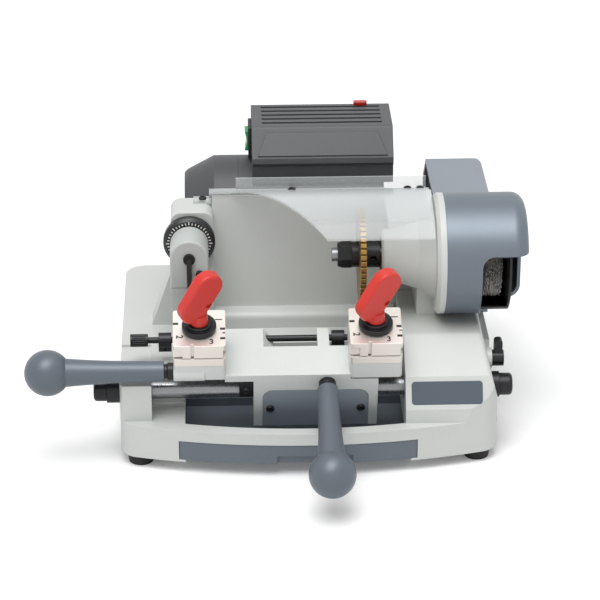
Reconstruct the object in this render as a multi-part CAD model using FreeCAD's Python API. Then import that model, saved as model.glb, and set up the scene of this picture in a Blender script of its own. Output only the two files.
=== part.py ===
# Key duplicating machine, modelled as the separate pieces it is built from.
# Units are millimetres. +Z is up, +X is to the operator's right, +Y is away from the operator.
# The origin is the middle of the four foot bolts, on the bench.
import FreeCAD
import Part
import os
from math import cos, radians, sin

V = FreeCAD.Vector
X_AXIS = V(1, 0, 0)
Y_AXIS = V(0, 1, 0)
Z_AXIS = V(0, 0, 1)

# Fits
RUN_FIT = 0.04          # radial play of a turning or sliding fit
CLEAR = 0.5             # play between pieces that move past each other
WALL_GAP = 0.3          # play between pieces that only lie side by side

# Base casting
BASE_W = 320.0          # width of the base
BASE_BACK = 132.0       # rear face of the base
BASE_CORNER = -122.0    # front corners of the base
BASE_BOW = 25.0         # how far the bowed front stands out of its corners
BASE_WALL = 7.0         # wall of the casting
CORNER_R = 18.0         # upright corners of the base
FOOT_H = 10.0           # height of a rubber foot
FOOT_R = 12.0           # radius of a foot at its top
FOOT_X = 143.0          # feet from the middle, along X
FOOT_Y = 112.0          # feet from the middle, along Y
FOOT_BOLT_R = 3.25      # bolt hole through a foot
SKIRT_TOP = 40.0        # top of the front skirt
DECK_TOP = 72.0         # top of the rear deck
PILLAR_TOP = 73.0       # top of the left pillar
PILLAR_IN = -133.0      # inner face of the left pillar
PILLAR_FRONT = -118.0   # front face of the left pillar
WELL_X0 = -105.0        # chip well, left side
WELL_BACK = -36.0       # chip well, rear wall
WELL_LIP = 11.0         # width of the ledge in front of the well
HUMP_X0 = 81.0          # right hump, inner side
HUMP_EDGE = -80.0       # front edge of the hump's flat top
HUMP_DRAFT = 12.0       # how far the hump's right side leans in at its top
HUMP_BACK = 8.0         # rear of the hump's flat top
PLATE_TOP_Y = -117.0    # upper edge of the slanted plate face
PLATE_TOP_Z = 75.0
PLATE_LOW_Y = -128.0    # lower edge of the slanted plate face
PLATE_LOW_Z = 54.0
PLATE_X = 116.0         # bare plate on that face
PLATE_W = 60.0
PLATE_T = 1.0
PLATE_EDGE = 2.0        # bare metal left above and below the plate

# Carriage shaft
SHAFT_Y = -98.0
SHAFT_Z = 60.0
SHAFT_R = 8.0
BUSH_R = 11.0
BUSH_OUT = 11.0         # length of a bush outside the base
CAP_L = 11.0            # end cap
CAP_R = 9.5

# Carriage, in its own upright frame: y and z from the shaft's axis
LEAN = 18.0             # the carriage leans this far to the operator at rest
PITCH = 147.5           # between the two clamps, and between tracer and cutter
CLAMP_X = -92.0         # left clamp
CLAMP_Y = 7.0           # clamp stud from the shaft
CLAMP_W = 44.0          # square clamp
SEAT_TOP = 41.0         # top of a clamp seat
SEAT_T = 16.0           # height of a seat
JAW_LOW_H = 8.0         # lower jaw
JAW_UP_H = 14.0         # upper jaw
JAW_GAP = 1.0           # slit between the jaws at rest
STUD_R = 4.0
WASHER_R = 14.4
WASHER_H = 5.0
COLLAR_R = 11.0         # upper step of the washer
COLLAR_H = 3.0
KNOB_HUB_R = 9.0
KNOB_HUB_H = 9.0
KNOB_T = 11.0           # thickness of the paddle
SPRING_R = 7.0
PLATE_Z = 29.0          # top of the plate between the clamps
BEAM_T = 7.0            # thickness of that plate
APRON_FRONT = -15.0     # front of the apron
APRON_BACK = 13.0
APRON_LOW = -31.0
APRON_X0 = -47.0
APRON_X1 = 58.0
SLEEVE_R = 15.0
COVER_INSET = 8.0       # apron rim left beside the cover plate
COVER_TOP = 11.0
COVER_T = 2.0
COVER_CORNER_R = 9.0    # upper corners of the cover plate
GRIP_L = 117.0          # handle grip
GRIP_BALL_R = 19.5
GRIP_NECK_R = 8.7
GRIP_WAIST_R = 11.5
FERRULE_L = 8.0
FERRULE_R = 7.3
HANDLE_X = 15.0         # front handle
HANDLE_Z = 19.0
SIDE_Y = -8.0           # side handle
SIDE_Z = 29.0
SIDE_BOSS_R = 8.5       # boss under the left seat for the side handle
SIDE_BOSS_L = 26.0
GAUGE_Y = 36.0          # key gauge rod, behind the clamps
GAUGE_Z = 23.0
GAUGE_R = 2.75
GAUGE_HUB_R = 6.5
GAUGE_HUB_L = 11.0
GAUGE_ARM = 10.0
LUG_HALF = 6.0          # half height of the lugs round the rod
RIB_L = 32.0            # rib over the rod beside the left seat
RIB_SLANT = 9.0
GAUGE_KNOB_R = 5.5
GAUGE_KNOB_L = 15.0

# Spindle
SPIN_Y = -35.0
SPIN_Z = 154.6
SPIN_R = 8.0
CUTTER_R = 40.0
CUTTER_T = 5.0
CUTTER_TEETH = 48
TOOTH_DEPTH = 2.0
CUTTER_X = 47.5
NUT_W = 20.0            # across flats
NUT_L = 12.0
BARREL_X0 = 64.0        # left end of the barrel
BARREL_R0 = 21.0
BARREL_R1 = 30.0
BARREL_BORE = 16.0      # radius of the bearing bore
RIM_X0 = 109.0
RIM_X1 = 117.0
RIM_R = 52.0
HOOD_CLEAR = 2.6        # free height under the hood
HUMP_TOP = SPIN_Z - RIM_R - HOOD_CLEAR  # top of the right hump
BEARING_W = 11.0
PULLEY_X = 130.0        # middle of the belt
BELT_W = 10.0
BELT_T = 3.0
SPIN_PULLEY_R = 20.0
BRUSH_X0 = 150.0
BRUSH_X1 = 166.0
BRUSH_R = 38.0
HOOD_X1 = 187.0
HOOD_T = 3.0
HOOD_STEP_X = 147.0     # the hood is cut away to the right of this
HOOD_CUT = 17.0         # above the axis, the cut starts here

# Head casting
WALL_T = 12.0           # back wall
WALL_LOW_Y = 8.0
WALL_TOP_Y = 22.0
HEAD_TOP = 187.0
TOWER_TOP = 180.0
TOWER_X0 = -116.0
TOWER_X1 = -79.0
TOWER_FRONT = 0.0
HEAD_FOOT_H = 14.0

# Tracer
QUILL_W = 33.0
QUILL_L = 32.0
QUILL_DROP = 28.0       # below the tracer's axis
QUILL_STEM_R = 11.0
DIAL_R = 22.5
DIAL_T = 9.0
TRACER_Z = 155.5
TRACER_SHANK_R = 5.0
TRACER_T = 3.5
TRACER_REACH = 14.0     # tip in front of the quill
TRACER_DROP = 36.0      # tip below the tracer's axis
DIAL_TURN = 360.0       # the dial turns this far each way
DIAL_LEAD = 1.0         # quill travel for one turn
DIAL_GAP = DIAL_LEAD * DIAL_TURN / 360 + CLEAR

# Motor
MOTOR_Y = 85.0
MOTOR_Z = 146.0
MOTOR_R = 50.0
MOTOR_X0 = -56.0
MOTOR_X1 = 72.0
MOTOR_WALL = 4.0
MOTOR_CAP_X = -104.0    # far end of the fan cap
MOTOR_CAP_R = 38.0
MOTOR_SHAFT_R = 7.0
MOTOR_PULLEY_R = 26.0
BOX_X0 = -44.0
BOX_X1 = 80.0
BOX_TOP = 234.0
BOX_BACK = 122.0
BOX_FRONT_TOP = 64.0
BOX_FRONT = 46.0
BOX_PANEL_LOW = BOX_TOP - 23
BOX_LOW = 186.0
BOX_WALL = 3.0
SWITCH_ROOM = BOX_TOP - MOTOR_Z - MOTOR_R  # wall of the box above the motor
SWITCH_MID = SWITCH_ROOM * 17 / 38      # middle of the switch above the motor
BEZEL_HALF = SWITCH_ROOM * 15 / 38
SWITCH_HALF = SWITCH_ROOM * 10 / 38
COVER_X0 = 113.0        # belt cover
COVER_X1 = 164.0
COVER_BACK = 134.0
COVER_TOP_Z = 185.0
COVER_FRONT = SPIN_Y + RIM_R + 3

# Shield
SHIELD_T = 2.0
SHIELD_BACK = 24.0
SHIELD_FRONT = -78.0
SHIELD_RISE = 16.0
SHIELD_LIFT = 12.0      # upright rear flange
SHIELD_X0 = -96.0
SHIELD_X1 = 107.0

# Chip tray
TRAY_X0 = -110.0
TRAY_X1 = 90.0
TRAY_LOW = 12.0
TRAY_TOP = 29.0          # top of the tray's front
TRAY_SIDE = 22.0         # top of its other walls
TRAY_WALL = 2.0
TRAY_BACK = -40.0


def box(x0, x1, y0, y1, z0, z1):
    """A block between two corners."""
    return Part.makeBox(x1 - x0, y1 - y0, z1 - z0, V(x0, y0, z0))


def rod(axis, start, length, radius, radius_end=None):
    """A round bar, or a cone, along an axis from a start point."""
    if radius_end is None:
        return Part.makeCylinder(radius, length, start, axis)
    return Part.makeCone(radius, radius_end, length, start, axis)


def tube(axis, start, length, outer, inner):
    """A round bar with a bore."""
    return rod(axis, start, length, outer).cut(rod(axis, start, length, inner))


def prism_x(points, x0, x1):
    """An outline of (y, z) points drawn out along X."""
    wire = Part.makePolygon([V(x0, y, z) for y, z in points + points[:1]])
    return Part.Face(wire).extrude(V(x1 - x0, 0, 0))


def prism_z(points, z0, z1):
    """An outline of (x, y) points drawn out along Z."""
    wire = Part.makePolygon([V(x, y, z0) for x, y in points + points[:1]])
    return Part.Face(wire).extrude(V(0, 0, z1 - z0))


def turned(points, axis, start):
    """A lathe-turned piece: (distance along the axis, radius) points round an axis."""
    side = V(0, 0, 1)
    first = points[0][0]
    last = points[-1][0]
    ring = [start + axis * first]
    ring += [start + axis * along + side * radius for along, radius in points]
    ring += [start + axis * last]
    unique = [ring[0]]
    for point in ring[1:]:
        if point.distanceToPoint(unique[-1]) > 1e-6:
            unique.append(point)
    wire = Part.makePolygon(unique + unique[:1])
    return Part.Face(wire).revolve(start, axis, 360)


def rounded_box(x0, x1, y0, y1, z0, z1, radius, along):
    """A block with its four edges along one axis rounded."""
    body = box(x0, x1, y0, y1, z0, z1)
    return round_edges(body, radius, lambda e: runs_along(e, along))


def runs_along(edge, axis):
    """True for a straight edge along an axis."""
    if not isinstance(edge.Curve, Part.Line):
        return False
    return abs(abs(edge.Curve.Direction.dot(axis)) - 1) < 1e-6


def round_edges(shape, radius, wanted):
    """Fillet the edges that a test picks."""
    edges = [e for e in shape.Edges if wanted(e)]
    return shape.makeFillet(radius, edges)


def lean(shape):
    """Turn a piece of the upright carriage to its leaning rest place on the shaft."""
    placed = shape.copy()
    placed.translate(V(0, SHAFT_Y, SHAFT_Z))
    placed.rotate(V(0, SHAFT_Y, SHAFT_Z), X_AXIS, LEAN)
    return placed


def spin_at(x):
    """A point on the spindle's axis."""
    return V(x, SPIN_Y, SPIN_Z)


def motor_at(x):
    """A point on the motor's axis."""
    return V(x, MOTOR_Y, MOTOR_Z)


def base_front(x):
    """The bowed front edge of the base at a place along X."""
    return BASE_CORNER - BASE_BOW * (1 - (2 * x / BASE_W) ** 2)


def base_prism(inset, z0, z1):
    """The base's outline, drawn in by an inset, between two heights."""
    half = BASE_W / 2 - inset
    corner = BASE_CORNER + inset
    back = BASE_BACK - inset
    left = V(-half, corner, z0)
    right = V(half, corner, z0)
    far_right = V(half, back, z0)
    far_left = V(-half, back, z0)
    bow = Part.Arc(left, V(0, corner - BASE_BOW, z0), right).toShape()
    sides = Part.makePolygon([right, far_right, far_left, left]).Edges
    solid = Part.Face(Part.Wire([bow] + sides)).extrude(V(0, 0, z1 - z0))
    return round_edges(solid, CORNER_R - min(inset, CORNER_R - 4), lambda e: runs_along(e, Z_AXIS))


def hump_outline():
    """Side outline of the right hump, from the skirt up over the plate face to the flat top."""
    skirt_y = base_front(BASE_W / 2 - CORNER_R * 2)
    return [
        (HUMP_BACK, SKIRT_TOP - 1),
        (skirt_y + 2, SKIRT_TOP - 1),
        (PLATE_LOW_Y - 1, PLATE_LOW_Z - 2),
        (PLATE_TOP_Y + 1, PLATE_TOP_Z + 2),
        (HUMP_EDGE, HUMP_TOP),
        (HUMP_BACK, HUMP_TOP),
    ]


def hump_block():
    """Right hump, with a rounded brow and a right side that leans in."""
    half = BASE_W / 2
    hump = prism_x(hump_outline(), HUMP_X0, half)
    hump = round_edges(hump, 7, lambda e: runs_along(e, X_AXIS) and abs(e.BoundBox.YMin - HUMP_EDGE) < 0.01)
    lean_from = PLATE_LOW_Z
    over = HUMP_TOP + 1
    side = [(half, lean_from), (half - HUMP_DRAFT, over), (half + 9, over), (half + 9, lean_from)]
    wire = Part.makePolygon([V(x, -200, z) for x, z in side + side[:1]])
    hump = hump.cut(Part.Face(wire).extrude(V(0, 400, 0)))
    inner = half - HUMP_DRAFT - 1
    return round_edges(hump, 4, lambda e: e.BoundBox.XMin > inner and e.BoundBox.ZMin > HUMP_TOP - 4)


def foot_places():
    """Middles of the four feet."""
    return [(x, y) for x in (-FOOT_X, FOOT_X) for y in (-FOOT_Y, FOOT_Y)]


def plate_frame():
    """Placement on the slanted plate face: X along the base, Y up the slope, Z out of the face."""
    rise = PLATE_TOP_Z - PLATE_LOW_Z
    run = PLATE_TOP_Y - PLATE_LOW_Y
    up = V(0, run, rise).normalize()
    middle = V(PLATE_X, (PLATE_TOP_Y + PLATE_LOW_Y) / 2, (PLATE_TOP_Z + PLATE_LOW_Z) / 2)
    turn = FreeCAD.Rotation(X_AXIS, up, X_AXIS.cross(up), "XYZ")
    return FreeCAD.Placement(middle, turn)


def plate_block(grow, depth, proud=0):
    """The bare plate, or its pocket when grown a little and cut from outside the face."""
    slope = V(0, PLATE_TOP_Y - PLATE_LOW_Y, PLATE_TOP_Z - PLATE_LOW_Z).Length
    half_w = PLATE_W / 2 + grow
    half_h = slope / 2 - PLATE_EDGE + grow
    block = rounded_box(-half_w, half_w, -half_h, half_h, -depth, proud, 3, Z_AXIS)
    block.Placement = plate_frame()
    return block


def base_casting():
    """Hollow base: skirt, rear deck, left pillar and right hump, open over the chip tray."""
    half = BASE_W / 2
    roof = SKIRT_TOP - BASE_WALL
    hull = base_prism(0, FOOT_H, HUMP_TOP + 1)
    blocks = box(-half, half, -200, BASE_BACK, FOOT_H, SKIRT_TOP)
    blocks = blocks.fuse(box(-half, half, WELL_BACK, BASE_BACK, SKIRT_TOP - 1, DECK_TOP))
    blocks = blocks.fuse(box(-half, PILLAR_IN, PILLAR_FRONT, SHAFT_Y + 18, SKIRT_TOP - 1, PILLAR_TOP))
    blocks = blocks.fuse(box(-half, PILLAR_IN, SHAFT_Y, WELL_BACK + 1, SKIRT_TOP - 1, DECK_TOP - 2))
    blocks = blocks.fuse(box(PILLAR_IN - 1, WELL_X0, SHAFT_Y + 14, WELL_BACK + 1, SKIRT_TOP - 1, DECK_TOP))
    blocks = blocks.fuse(hump_block()).fuse(lock_knob_boss())
    body = hull.common(blocks).removeSplitter()

    inside = base_prism(BASE_WALL, FOOT_H - 1, DECK_TOP)
    side_l = TRAY_X0 - CLEAR - BASE_WALL
    side_r = TRAY_X1 + CLEAR + BASE_WALL
    rooms = [
        box(-half, side_l, -200, WELL_BACK, FOOT_H - 1, roof),
        box(side_r, half, -200, WELL_BACK, FOOT_H - 1, roof),
        box(-half, half, WELL_BACK + BASE_WALL, BASE_BACK, FOOT_H - 1, DECK_TOP - BASE_WALL),
    ]
    for room in rooms:
        body = body.cut(inside.common(room))
    body = body.cut(box(HUMP_X0 + BASE_WALL, half - BASE_WALL, SHAFT_Y + 30, HUMP_BACK - BASE_WALL,
                        FOOT_H, HUMP_TOP - BASE_WALL))
    well = base_prism(WELL_LIP, FOOT_H - 1, HUMP_TOP + 2)
    body = body.cut(well.common(box(WELL_X0, HUMP_X0, -200, WELL_BACK, FOOT_H - 1, HUMP_TOP + 2)))
    body = body.cut(box(TRAY_X0 - CLEAR, TRAY_X1 + CLEAR, -200, WELL_BACK, TRAY_LOW, TRAY_TOP + CLEAR))
    body = body.cut(box(TRAY_X0 + 5, TRAY_X1 - 5, -200, WELL_BACK, FOOT_H - 1, TRAY_LOW))

    for x, y in foot_places():
        top = roof + 1 if y < 0 else DECK_TOP - BASE_WALL + 1
        body = body.fuse(rod(Z_AXIS, V(x, y, FOOT_H), top - FOOT_H, FOOT_R))
    body = body.removeSplitter()
    for x, y in foot_places():
        body = body.cut(rod(Z_AXIS, V(x, y, FOOT_H - 1), 16, FOOT_BOLT_R))
    body = body.cut(rod(X_AXIS, V(-half - 1, SHAFT_Y, SHAFT_Z), BASE_W + 2, BUSH_R))
    body = body.cut(plate_block(0, PLATE_T, PLATE_T))
    return body.cut(lock_knob_hole())


def name_plate():
    """Bare plate let into the slanted face."""
    return plate_block(-WALL_GAP / 2, PLATE_T)


def rubber_feet():
    """Four tapered feet with a hole for the bench bolts."""
    feet = []
    for x, y in foot_places():
        foot = rod(Z_AXIS, V(x, y, 0), FOOT_H, FOOT_R - 1.5, FOOT_R)
        foot = round_edges(foot, 1.0, lambda e: e.BoundBox.ZMax < 0.1)
        feet.append(foot.cut(rod(Z_AXIS, V(x, y, -1), FOOT_H + 2, FOOT_BOLT_R)))
    return Part.makeCompound(feet)


def chip_tray():
    """Drawer under the well, with a thick bowed front and a finger hollow."""
    front_t = 5.0
    span = box(TRAY_X0, TRAY_X1, -200, TRAY_BACK, TRAY_LOW, TRAY_TOP)
    hollow = box(TRAY_X0 + TRAY_WALL, TRAY_X1 - TRAY_WALL, -200, TRAY_BACK - TRAY_WALL,
                 TRAY_LOW + TRAY_WALL, TRAY_TOP + 1)
    tray = base_prism(0.5, TRAY_LOW, TRAY_TOP).common(span)
    inside = base_prism(front_t, TRAY_LOW, TRAY_TOP + 1)
    tray = tray.cut(inside.common(hollow))
    above = box(TRAY_X0 - 1, TRAY_X1 + 1, -200, TRAY_BACK + 1, TRAY_SIDE, TRAY_TOP + 1)
    tray = tray.cut(inside.common(above))
    finger = box(-28, 36, -200, -50, TRAY_LOW, TRAY_LOW + 7)
    return tray.cut(finger.cut(base_prism(3, TRAY_LOW - 1, TRAY_TOP + 1)))


def shaft_bushes():
    """Two bushes that carry the carriage shaft in the base."""
    half = BASE_W / 2
    start = V(-half - BUSH_OUT, SHAFT_Y, SHAFT_Z)
    left = tube(X_AXIS, start, half + BUSH_OUT + PILLAR_IN, BUSH_R, SHAFT_R + RUN_FIT)
    right = tube(X_AXIS, V(HUMP_X0, SHAFT_Y, SHAFT_Z), half - HUMP_X0 + 2, BUSH_R, SHAFT_R + RUN_FIT)
    return Part.makeCompound([left, right])


def shaft_ends():
    """X of the shaft's two ends, just past the bushes."""
    half = BASE_W / 2
    return -half - BUSH_OUT - WALL_GAP, half + 2 + WALL_GAP


def carriage_shaft():
    """Round shaft that the carriage slides and tilts on."""
    left, right = shaft_ends()
    return rod(X_AXIS, V(left, SHAFT_Y, SHAFT_Z), right - left, SHAFT_R)


def shaft_end_caps():
    """Rounded caps on the shaft's ends."""
    left, right = shaft_ends()
    caps = []
    for start, way in ((left, -1), (right, 1)):
        cap = rod(X_AXIS * way, V(start, SHAFT_Y, SHAFT_Z), CAP_L, CAP_R)
        far = start + way * CAP_L
        caps.append(round_edges(cap, 3.0, lambda e: abs(e.BoundBox.Center.x - far) < 0.01))
    return Part.makeCompound(caps)


def clamp_places():
    """X of the left and right clamp."""
    return {"left": CLAMP_X, "right": CLAMP_X + PITCH}


def gauge_lugs():
    """X ranges of the two lugs that carry the gauge rod."""
    return [(APRON_X0 - 18, APRON_X0 - 8), (APRON_X1 - 50, APRON_X1 - 40)]


def gauge_rib(x0):
    """Rib behind the plate that covers the rod from the left seat, cut off at a slant."""
    low = GAUGE_Z - LUG_HALF
    top = GAUGE_Z + LUG_HALF
    outline = [(x0 - 1, low), (x0 + RIB_L + RIB_SLANT, low), (x0 + RIB_L, top), (x0 - 1, top)]
    wire = Part.makePolygon([V(x, CLAMP_Y, z) for x, z in outline + outline[:1]])
    return Part.Face(wire).extrude(V(0, GAUGE_Y + LUG_HALF - CLAMP_Y, 0))


def carriage_casting():
    """Carriage: sleeve on the shaft, apron, plate and two clamp seats."""
    half = CLAMP_W / 2
    xs = clamp_places()
    seat_low = SEAT_TOP - SEAT_T
    plate_low = PLATE_Z - BEAM_T
    body = box(APRON_X0, APRON_X1, APRON_FRONT, APRON_BACK, APRON_LOW, plate_low + 1)
    body = body.fuse(rod(X_AXIS, V(APRON_X0, 0, 0), APRON_X1 - APRON_X0, SLEEVE_R))
    left, right = xs["left"], xs["right"]
    body = body.fuse(box(left + half - 1, right - half + 1, APRON_FRONT, CLAMP_Y + 13, plate_low, PLATE_Z))
    body = body.fuse(box(left - half + 8, right + half - 8, -6, CLAMP_Y + 14, plate_low - 6, seat_low + 1))
    for x in xs.values():
        seat = rounded_box(x - half, x + half, CLAMP_Y - half, CLAMP_Y + half, seat_low, SEAT_TOP, 3, Z_AXIS)
        body = body.fuse(seat)
    root, way = handle_roots()["side"]
    body = body.fuse(rod(way, root - way * SIDE_BOSS_L, SIDE_BOSS_L, SIDE_BOSS_R))
    for x0, x1 in gauge_lugs():
        body = body.fuse(box(x0, x1, CLAMP_Y, GAUGE_Y + LUG_HALF, GAUGE_Z - LUG_HALF, GAUGE_Z + LUG_HALF))
    body = body.fuse(gauge_rib(left + half))
    body = body.removeSplitter()
    body = body.cut(rod(X_AXIS, V(APRON_X0 - 1, 0, 0), APRON_X1 - APRON_X0 + 2, SHAFT_R + RUN_FIT))
    body = body.cut(cover_block(WALL_GAP, COVER_T))
    body = body.cut(rod(X_AXIS, V(left + half - 2, GAUGE_Y, GAUGE_Z), PITCH, GAUGE_R + RUN_FIT))
    for x in xs.values():
        body = body.cut(rod(Z_AXIS, V(x, CLAMP_Y, seat_low + 2), SEAT_T, STUD_R))
    return lean(body)


def cover_block(grow, depth):
    """The apron's cover plate, or its pocket when grown a little."""
    x0 = APRON_X0 + COVER_INSET - grow
    x1 = APRON_X1 - COVER_INSET + grow
    back = APRON_FRONT + depth
    block = rounded_box(x0, x1, APRON_FRONT, back, APRON_LOW, COVER_TOP + grow, COVER_CORNER_R, Y_AXIS)
    return block.fuse(box(x0, x1, APRON_FRONT, back, APRON_LOW, APRON_LOW + COVER_CORNER_R)).removeSplitter()


def carriage_cover_plate():
    """Cover plate on the apron's front."""
    return lean(cover_block(0, COVER_T))


def cover_plate_screws():
    """Two button screws on the cover plate."""
    screws = []
    for x in (APRON_X0 + COVER_INSET + 6, APRON_X1 - COVER_INSET - 6):
        screws.append(lean(button_screw(V(x, APRON_FRONT, (APRON_LOW + COVER_TOP) / 2), V(0, -1, 0), 3.6)))
    return Part.makeCompound(screws)


def button_screw(seat, out, radius):
    """Domed screw head with a hexagon socket."""
    head = rod(out, seat, radius * 0.6, radius)
    rim = seat + out * (radius * 0.6)
    head = round_edges(head, radius * 0.4, lambda e: e.BoundBox.Center.distanceToPoint(rim) < 0.01)
    return head.cut(rod(out, seat + out * (radius * 0.3), radius, radius * 0.45))


def grip(start, axis):
    """Handle grip: slim neck, swelling into a ball."""
    middle = GRIP_L - GRIP_BALL_R
    join = radians(142)
    on_ball = [(middle + GRIP_BALL_R * cos(a), GRIP_BALL_R * sin(a)) for a in (join, join / 2, 0)]
    places = [(0, GRIP_NECK_R), (GRIP_L * 0.3, GRIP_NECK_R + 0.6)]
    places += [(GRIP_L * 0.58, GRIP_WAIST_R - 0.6), on_ball[0]]

    def at(along, radius):
        return start + axis * along + Z_AXIS * radius

    neck = Part.BSplineCurve()
    neck.interpolate([at(*p) for p in places])
    ball = Part.Arc(*[at(*p) for p in on_ball]).toShape()
    tip = at(GRIP_L, 0)
    root = at(0, 0)
    edges = [neck.toShape(), ball, Part.makeLine(tip, root), Part.makeLine(root, at(0, GRIP_NECK_R))]
    return Part.Face(Part.Wire(edges)).revolve(start, axis, 360)


def handle_roots():
    """Where each handle leaves the carriage, and which way it points."""
    front = (V(HANDLE_X, APRON_FRONT, HANDLE_Z), V(0, -1, 0))
    side = (V(CLAMP_X - CLAMP_W / 2, SIDE_Y, SIDE_Z), V(-1, 0, 0))
    return {"front": front, "side": side}


def handle_ferrule(side):
    """Turned collar between the carriage and a grip."""
    root, axis = handle_roots()[side]
    low = FERRULE_R - 1
    profile = [(0, FERRULE_R), (FERRULE_L * 0.6, FERRULE_R), (FERRULE_L * 0.7, low), (FERRULE_L, low)]
    return lean(turned(profile, axis, root))


def handle_grip(side):
    """Grip on its ferrule."""
    root, axis = handle_roots()[side]
    return lean(grip(root + axis * FERRULE_L, axis))


def clamp_square(x, z0, z1):
    """A square clamp block round its stud."""
    half = CLAMP_W / 2
    return rounded_box(x - half, x + half, CLAMP_Y - half, CLAMP_Y + half, z0, z1, 2.5, Z_AXIS)


def jaw_levels():
    """Heights of the lower jaw's top, the upper jaw's bottom and its top."""
    low_top = SEAT_TOP + JAW_LOW_H
    up_low = low_top + JAW_GAP
    return low_top, up_low, up_low + JAW_UP_H


def clamp_lower_jaw(side):
    """Lower jaw, with the spring's pocket."""
    x = clamp_places()[side]
    low_top = jaw_levels()[0]
    jaw = clamp_square(x, SEAT_TOP, low_top)
    jaw = jaw.cut(rod(Z_AXIS, V(x, CLAMP_Y, SEAT_TOP - 1), JAW_LOW_H + 2, STUD_R + WALL_GAP))
    jaw = jaw.cut(rod(Z_AXIS, V(x, CLAMP_Y, SEAT_TOP + 2), JAW_LOW_H, SPRING_R + CLEAR))
    return lean(jaw)


def clamp_upper_jaw(side):
    """Upper jaw, with a gauge slot and a stepped corner on each of its four sides."""
    x = clamp_places()[side]
    half = CLAMP_W / 2
    _, up_low, up_top = jaw_levels()
    jaw = clamp_square(x, up_low, up_top)
    jaw = jaw.cut(rod(Z_AXIS, V(x, CLAMP_Y, up_low - 1), JAW_UP_H + 2, STUD_R + WALL_GAP))
    slot = box(x - 7, x - 4.5, CLAMP_Y - half - 1, CLAMP_Y - half + 2.5, up_low - 1, up_top + 1)
    step = box(x - half - 1, x - half + 8, CLAMP_Y - half - 1, CLAMP_Y - half + 2, up_low - 1, up_top - 5)
    for quarter in range(4):
        for cutter in (slot, step):
            turned_cut = cutter.copy()
            turned_cut.rotate(V(x, CLAMP_Y, 0), Z_AXIS, 90 * quarter)
            jaw = jaw.cut(turned_cut)
    return lean(jaw)


def clamp_spring(side):
    """Jaw spring in its pocket round the stud, kept as a plain sleeve."""
    x = clamp_places()[side]
    height = JAW_LOW_H - 2
    return lean(tube(Z_AXIS, V(x, CLAMP_Y, SEAT_TOP + 2), height, SPRING_R, SPRING_R - 1.2))


def clamp_washer(side):
    """Stepped washer under the knob."""
    x = clamp_places()[side]
    top = jaw_levels()[2]
    rise = WASHER_H + COLLAR_H
    profile = [(0, WASHER_R - 1), (1, WASHER_R), (WASHER_H - 1, WASHER_R), (WASHER_H, WASHER_R - 1),
               (WASHER_H, COLLAR_R), (rise - 0.6, COLLAR_R), (rise, COLLAR_R - 0.6)]
    washer = turned_up(profile, V(x, CLAMP_Y, top))
    return lean(washer.cut(rod(Z_AXIS, V(x, CLAMP_Y, top - 1), rise + 2, STUD_R + WALL_GAP)))


def turned_up(points, start):
    """A lathe-turned piece on an upright axis."""
    ring = [start + Z_AXIS * points[0][0]]
    ring += [start + Z_AXIS * along + X_AXIS * radius for along, radius in points]
    ring += [start + Z_AXIS * points[-1][0]]
    wire = Part.makePolygon(ring + ring[:1])
    return Part.Face(wire).revolve(start, Z_AXIS, 360)


def knob_low():
    """Height of the knob's underside."""
    return jaw_levels()[2] + WASHER_H + COLLAR_H


def clamp_stud(side):
    """Threaded stud from the seat up into the knob."""
    x = clamp_places()[side]
    low = SEAT_TOP - SEAT_T + 2
    return lean(rod(Z_AXIS, V(x, CLAMP_Y, low), knob_low() + KNOB_HUB_H - low, STUD_R))


def paddle(x, low):
    """Flat oval of a knob, between a small lower round and a larger upper round."""
    y = CLAMP_Y - KNOB_T / 2
    body = oval(V(x - 6, y, low + 16), 12.0, V(x + 8, y, low + 37), 12.5, Y_AXIS * KNOB_T)
    return round_edges(body, 2.0, lambda e: not runs_along(e, Y_AXIS))


def clamp_knob(side):
    """Red clamp knob: hub with a flat oval paddle, turned a little to the right."""
    x = clamp_places()[side]
    low = knob_low()
    knob = rod(Z_AXIS, V(x, CLAMP_Y, low), KNOB_HUB_H, KNOB_HUB_R - 1, KNOB_HUB_R - 2)
    knob = knob.fuse(paddle(x, low)).removeSplitter()
    dimple = rod(Y_AXIS, V(x + 7, CLAMP_Y - KNOB_T / 2 - 1, low + 19), 3, 2.6)
    knob = knob.cut(dimple)
    knob = knob.cut(rod(Z_AXIS, V(x, CLAMP_Y, low - 1), KNOB_HUB_H + 2, STUD_R + RUN_FIT))
    knob.rotate(V(x, CLAMP_Y, 0), Z_AXIS, 27)
    return lean(knob)


def gauge_hub_places():
    """X where each gauge hub starts, just left of its clamp."""
    return [x - CLAMP_W / 2 - GAUGE_HUB_L - 2 for x in clamp_places().values()]


def gauge_rod():
    """Rod of the key gauge, from its knob to the right hub."""
    start = gauge_hub_places()[0] - 9
    end = gauge_hub_places()[1] + GAUGE_HUB_L + 3
    return lean(rod(X_AXIS, V(start, GAUGE_Y, GAUGE_Z), end - start, GAUGE_R))


def gauge_knob():
    """Knurled knob on the gauge rod's left end."""
    start = V(gauge_hub_places()[0] - 9 - GAUGE_KNOB_L, GAUGE_Y, GAUGE_Z)
    knob = rod(X_AXIS, start, GAUGE_KNOB_L, GAUGE_KNOB_R)
    for step in range(18):
        angle = radians(20 * step)
        groove = V(0, GAUGE_KNOB_R * cos(angle), GAUGE_KNOB_R * sin(angle))
        knob = knob.cut(rod(X_AXIS, start + groove + X_AXIS * 2, GAUGE_KNOB_L - 4, 0.5))
    return lean(knob)


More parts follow.
